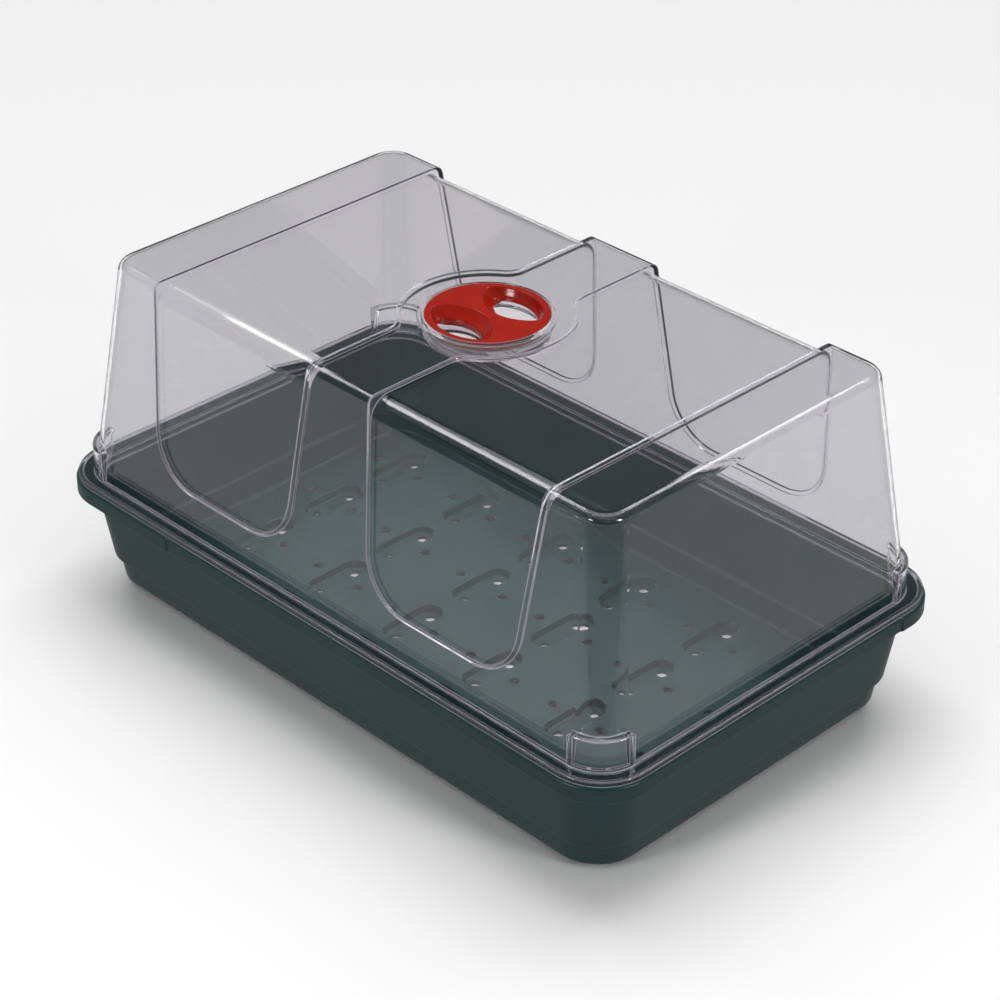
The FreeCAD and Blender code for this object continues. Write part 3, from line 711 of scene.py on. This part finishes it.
def card(name, points, brightness):
    """Card that is only seen by the plastic, glowing with a brightness or black; points is a two-row grid."""
    mesh = bpy.data.meshes.new(name)
    columns = len(points[0])
    quads = [(n, n + 1, columns + n + 1, columns + n) for n in range(columns - 1)]
    mesh.from_pydata([*points[0], *points[1]], [], quads)
    material, _, _ = shader(name, {"Base Color": (0, 0, 0, 1), "Roughness": 1.0, "Specular IOR Level": 0.0,
                                   "Emission Color": (1, 1, 1, 1), "Emission Strength": brightness})
    mesh.materials.append(material)
    board = bpy.data.objects.new(name, mesh)
    bpy.context.scene.collection.objects.link(board)
    board.visible_camera = board.visible_diffuse = board.visible_shadow = False
    return board


# ------------------------------------------------------------------ settings

class TrayShape(bpy.types.PropertyGroup):
    length: FloatProperty(name="Length", description="Length of the tray over its skirt",
                          default=TRAY_HIGH.x - TRAY_LOW.x, unit="LENGTH", subtype="DISTANCE")
    width: FloatProperty(name="Width", description="Width of the tray over its skirt",
                         default=TRAY_HIGH.y - TRAY_LOW.y, unit="LENGTH", subtype="DISTANCE")
    height: FloatProperty(name="Height", description="Height of the rim above the bench",
                          default=TRAY_HIGH.z, unit="LENGTH", subtype="DISTANCE")
    colour: FloatVectorProperty(name="Colour", description="Colour of the tray's plastic",
                                default=(0.008, 0.037, 0.033), subtype="COLOR", min=0, max=1)


class DomeShape(bpy.types.PropertyGroup):
    tint: FloatVectorProperty(name="Tint", description="Colour that one face lets through",
                              default=(0.83, 0.82, 0.84), subtype="COLOR", min=0, max=1)
    # painted light: colour painted on the dome's rounded corners in place of light that comes out of the walls
    # there
    painted_corner_light: FloatVectorProperty(name="Edge colour", description="Colour of light from the corners",
                                     default=(0.60, 0.585, 0.65), subtype="COLOR", min=0, max=1)


class VentShape(bpy.types.PropertyGroup):
    colour: FloatVectorProperty(name="Colour", description="Colour of the vent disc's plastic",
                                default=(0.33, 0.011, 0.004), subtype="COLOR", min=0, max=1)


class Studio(bpy.types.PropertyGroup):
    focal_length: FloatProperty(name="Focal length", description="Camera lens", default=104.023,
                                subtype="DISTANCE_CAMERA")
    sky: FloatProperty(name="Room light", description="Brightness of the dark room round the stage",
                       default=0.04)
    wall: FloatProperty(name="Wall", description="Brightness of the pale wall round the back of the stage",
                        default=0.18)
    table: FloatProperty(name="Near table", description="Brightness of the table as the plastic mirrors it",
                         default=0.34)
    back_light: FloatProperty(name="Back light", description="Strength of the wide lamp high behind",
                              default=1.6)
    top_light: FloatProperty(name="Top light", description="Power of the wide soft lamp overhead",
                             default=138.0, unit="POWER")
    edge_light: FloatProperty(name="Edge lights", description="Power of each lamp for the dome's top edges",
                              default=4.0, unit="POWER")
    front_light: FloatProperty(name="Front lights", description="Power of each of the lamps at the camera",
                               default=6.0, unit="POWER")
    floor_shade: FloatProperty(name="Floor shade", description="How much light the floor sends back",
                               default=0.82, min=0, max=1)


# ------------------------------------------------------------------ operators

class MakeSeedTray(bpy.types.Operator):
    """Build the seed tray with its wells, drains, ledge and skirt"""
    bl_idname = "dome_tray.make_seed_tray"
    bl_label = "Seed Tray"

    def execute(self, context):
        shape = context.scene.dome_tray_tray
        skin = Skin()
        seed_tray_surface(skin, (shape.length / MM / 2, shape.width / MM / 2, shape.height / MM))
        for place, limits in well_fields():
            floor_patch(skin, place, limits, True)
            floor_patch(skin, place, limits, False)
        piece = skin.piece("seed_tray_shell", tray_finish(shape.colour))
        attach(piece, "tray")
        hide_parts("seed_tray")
        return {"FINISHED"}


class MakeDome(bpy.types.Operator):
    """Finish the clear dome"""
    bl_idname = "dome_tray.make_dome"
    bl_label = "Dome"

    def execute(self, context):
        shape = context.scene.dome_tray_dome
        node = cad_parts["dome"]
        finish = clear_finish(shape.tint, shape.painted_corner_light)
        for place in node.material_slots:
            place.material = finish
        return {"FINISHED"}


class MakeVentDisc(bpy.types.Operator):
    """Build the vent disc with its grip, pockets and hub"""
    bl_idname = "dome_tray.make_vent_disc"
    bl_label = "Vent Disc"

    def execute(self, context):
        shape = context.scene.dome_tray_vent
        skin = Skin()
        vent_surface(skin)
        piece = skin.piece("vent_disc_shell", vent_finish(shape.colour))
        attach(piece, "vent")
        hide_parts("vent_disc")
        return {"FINISHED"}


class SetStage(bpy.types.Operator):
    """Lay the pale floor, hang the lamps and place the camera"""
    bl_idname = "dome_tray.set_stage"
    bl_label = "Stage"

    def execute(self, context):
        studio = context.scene.dome_tray_studio
        scene = context.scene
        world = bpy.data.worlds.new("room")
        world.use_nodes = True
        room = world.node_tree.nodes["Background"]
        room.inputs["Color"].default_value = (1, 1, 1, 1)
        room.inputs["Strength"].default_value = studio.sky
        scene.world = world
        scene.view_settings.view_transform = "Standard"

        mesh = bpy.data.meshes.new("floor")
        signs = ((-1, -1), (1, -1), (1, 1), (-1, 1))
        mesh.from_pydata([(x * FLOOR_HALF, y * FLOOR_HALF, 0) for x, y in signs], [], [(0, 1, 2, 3)])
        shade = studio.floor_shade
        paper, _, _ = shader("floor_paper", {"Base Color": (shade, shade, shade, 1), "Roughness": 0.9,
                                             "Specular IOR Level": 0.0})
        mesh.materials.append(paper)
        floor = bpy.data.objects.new("floor", mesh)
        scene.collection.objects.link(floor)

        data = bpy.data.lights.new("back_light", "SUN")
        data.energy = studio.back_light
        data.angle = math.radians(BACK_LIGHT_SPREAD)
        lamp = bpy.data.objects.new("back_light", data)
        scene.collection.objects.link(lamp)
        lamp.matrix_world = aimed(direction(180.0, BACK_LIGHT_ELEVATION)).to_4x4()
        lamp.visible_glossy = False
        for side, name in ((-1, "left_edge_light"), (1, "right_edge_light")):
            softbox(name, 135.0 * side, 53.0, 2.5, 0.55, studio.edge_light)
        softbox("top_light", 0.0, 89.0, 4.0, 8.0, studio.top_light).visible_glossy = False
        for side, name in ((-1, "left_light"), (1, "right_light")):
            softbox(name, 48.0 * side, 24.0, 1.6, 0.34, studio.front_light)

        out = direction(0.0, 0.0)
        across = direction(90.0, 0.0) * DARK_HALF
        start = DARK_START + out * DARK_GAP
        end = out * DARK_DEPTH
        dark = [[start - across, start + across], [start - across + end, start + across + end]]
        card("dark_table_end", dark, 0.0).visible_transmission = False
        reach = (-NEAR_HALF, NEAR_HALF)
        near = [[Vector((x, y, NEAR_LEVEL)) for x in reach] for y in reach]
        card("near_table", near, studio.table).visible_transmission = False
        sweep = [direction(bearing, 0.0) * WALL_REACH for bearing in range(60, 301, 15)]
        card("pale_wall", [sweep, [point + Vector((0, 0, WALL_HEIGHT)) for point in sweep]], studio.wall)
        place_camera(studio.focal_length)
        return {"FINISHED"}


class DomeTrayPanel(bpy.types.Panel):
    bl_idname = "VIEW3D_PT_dome_tray"
    bl_label = "Dome Tray"
    bl_space_type = "VIEW_3D"
    bl_region_type = "UI"
    bl_category = "Dome Tray"

    def draw(self, context):
        layout = self.layout
        for settings, operator in ((context.scene.dome_tray_tray, MakeSeedTray),
                                   (context.scene.dome_tray_dome, MakeDome),
                                   (context.scene.dome_tray_vent, MakeVentDisc),
                                   (context.scene.dome_tray_studio, SetStage)):
            box = layout.box()
            for name in settings.__annotations__:
                box.prop(settings, name)
            box.operator(operator.bl_idname)


CLASSES = (TrayShape, DomeShape, VentShape, Studio, MakeSeedTray, MakeDome, MakeVentDisc, SetStage,
           DomeTrayPanel)


def register():
    for kind in CLASSES:
        bpy.utils.register_class(kind)
    bpy.types.Scene.dome_tray_tray = PointerProperty(type=TrayShape)
    bpy.types.Scene.dome_tray_dome = PointerProperty(type=DomeShape)
    bpy.types.Scene.dome_tray_vent = PointerProperty(type=VentShape)
    bpy.types.Scene.dome_tray_studio = PointerProperty(type=Studio)


def unregister():
    for name in ("dome_tray_tray", "dome_tray_dome", "dome_tray_vent", "dome_tray_studio"):
        delattr(bpy.types.Scene, name)
    for kind in reversed(CLASSES):
        bpy.utils.unregister_class(kind)


def main():
    register()
    bpy.ops.dome_tray.make_seed_tray()
    bpy.ops.dome_tray.make_dome()
    bpy.ops.dome_tray.make_vent_disc()
    bpy.ops.dome_tray.set_stage()


if __name__ == "__main__":
    main()
